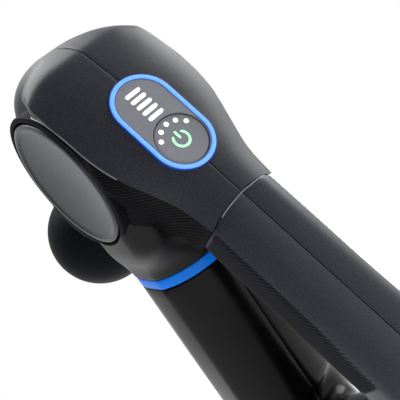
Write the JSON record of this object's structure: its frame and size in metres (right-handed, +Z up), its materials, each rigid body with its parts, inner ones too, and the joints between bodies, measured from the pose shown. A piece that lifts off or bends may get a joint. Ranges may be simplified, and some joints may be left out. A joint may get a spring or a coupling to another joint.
{
  "type": "massage gun",
  "caption": "Cordless percussion massage gun with a triangular handle, a crank-driven plunger, a foam ball head and a lit rear control panel.",
  "frame": {"origin": "middle of the bounding box at the underside of the base bar, on which the gun stands", "axes": "+X the way the ball points, +Y to the user's left when the panel faces them, +Z up along the rear arm"},
  "size_m": [0.1754, 0.0622, 0.231],
  "materials": {
    "soft_charcoal": "matte soft-touch moulding",
    "gloss_black": "polished moulding",
    "satin_grey": "satin moulding",
    "accent_blue": "coloured moulding",
    "light_blue": "frosted light guide",
    "panel_grey": "satin moulding",
    "light_white": "frosted light guide",
    "light_green": "frosted light guide",
    "board_green": "solder mask",
    "steel": "ground",
    "aluminium": "machined",
    "bronze": "sintered",
    "copper_winding": "enamelled wire",
    "core_steel": "blackened",
    "cell_blue": "heat-shrink sleeve",
    "holder_black": "moulded",
    "foam_black": "closed-cell foam skin"
  },
  "bodies": {
    "housing": {"head_shell_left": "soft_charcoal", "head_shell_right": "soft_charcoal", "grip_shell_left": "soft_charcoal", "grip_shell_right": "soft_charcoal", "leg_shell_left": "gloss_black", "leg_shell_right": "gloss_black", "accent_band": "accent_blue", "side_cap_left": "satin_grey", "side_cap_right": "satin_grey", "panel_light_ring": "light_blue", "panel_plate": "panel_grey", "battery_light_guide": "light_white", "control_board": "board_green", "tact_switch": "holder_black", "nose_ring": "holder_black", "guide_bush": "bronze", "motor_mount": "aluminium", "motor_stator": "copper_winding", "motor_bearing_inner": "steel", "motor_bearing_outer": "steel", "drive_board": "board_green", "battery_cell_1": "cell_blue", "battery_cell_2": "cell_blue", "battery_cell_3": "cell_blue", "battery_holder_top": "holder_black", "battery_holder_bottom": "holder_black", "charge_socket": "holder_black"},
    "crank": {"motor_rotor": "core_steel", "motor_shaft": "steel", "crank_disc": "core_steel", "crank_pin": "steel"},
    "rod": {"connecting_rod": "aluminium", "rod_bearing": "steel"},
    "piston": {"piston_shaft": "steel", "wrist_pin": "steel"},
    "attachment": {"ball_stem": "holder_black", "massage_ball": "foam_black"},
    "power_button": {"power_button": "panel_grey", "speed_dots": "light_white", "power_icon": "light_green"}
  },
  "joints": [
    {"name": "crank_spin", "type": "hinge", "parent": "housing", "child": "crank", "pos_m": [-0.04635, 0, 0.181], "axis": [0, 1, 0], "continuous": true},
    {"name": "rod_pivot", "type": "hinge", "parent": "crank", "child": "rod", "pos_m": [-0.05435, 0, 0.181], "axis": [0, 1, 0], "continuous": true},
    {"name": "piston_stroke", "type": "slide", "parent": "housing", "child": "piston", "axis": [1, 0, 0], "range_m": [0, 0.016]},
    {"name": "attachment_pull", "type": "slide", "parent": "piston", "child": "attachment", "axis": [1, 0, 0], "range_m": [0, 0.03]},
    {"name": "button_press", "type": "slide", "parent": "housing", "child": "power_button", "axis": [1, 0, 0], "range_m": [0, 0.0007], "stiffness_N_per_m": 2000}
  ],
  "couplings": [
    {"joint": "rod_pivot", "follows": "crank_spin", "ratio": -1}
  ]
}
